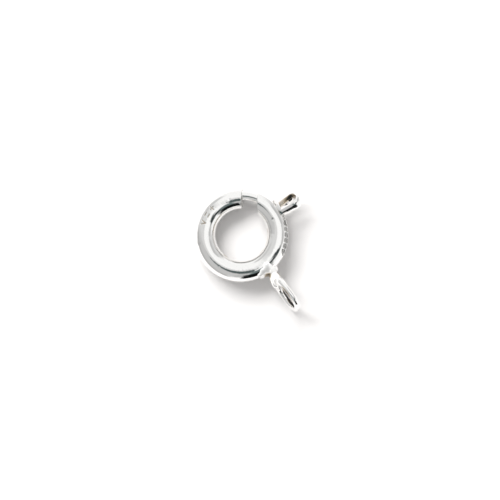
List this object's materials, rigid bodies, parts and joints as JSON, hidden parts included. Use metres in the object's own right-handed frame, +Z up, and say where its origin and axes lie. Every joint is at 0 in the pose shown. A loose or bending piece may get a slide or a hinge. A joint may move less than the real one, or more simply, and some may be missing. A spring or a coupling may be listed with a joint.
{
  "type": "spring ring clasp",
  "caption": "Small round jewellery clasp: a hollow ring with a sprung sliding bolt, a bow trigger and a fixed side loop.",
  "frame": {"origin": "centre of the ring, on its own axis, with the clasp lying on a table", "axes": "+Z up from the table, -Y towards the attachment loop, +X towards the trigger"},
  "size_m": [0.0074, 0.009, 0.0023],
  "materials": {
    "silver": "polished sterling silver",
    "spring_steel": "drawn steel wire"
  },
  "bodies": {
    "ring": {"clasp_ring": "silver", "spring": "spring_steel"},
    "slider": {"bolt": "silver"}
  },
  "joints": [
    {"name": "bolt_slide", "type": "hinge", "parent": "ring", "child": "slider", "pos_m": [0, 0, 0], "axis": [0, -0.073, -0.9973], "range_deg": [0, 44], "stiffness_Nm_per_rad": 0.003, "springref_deg": -20.05, "deforming": ["spring"]}
  ]
}
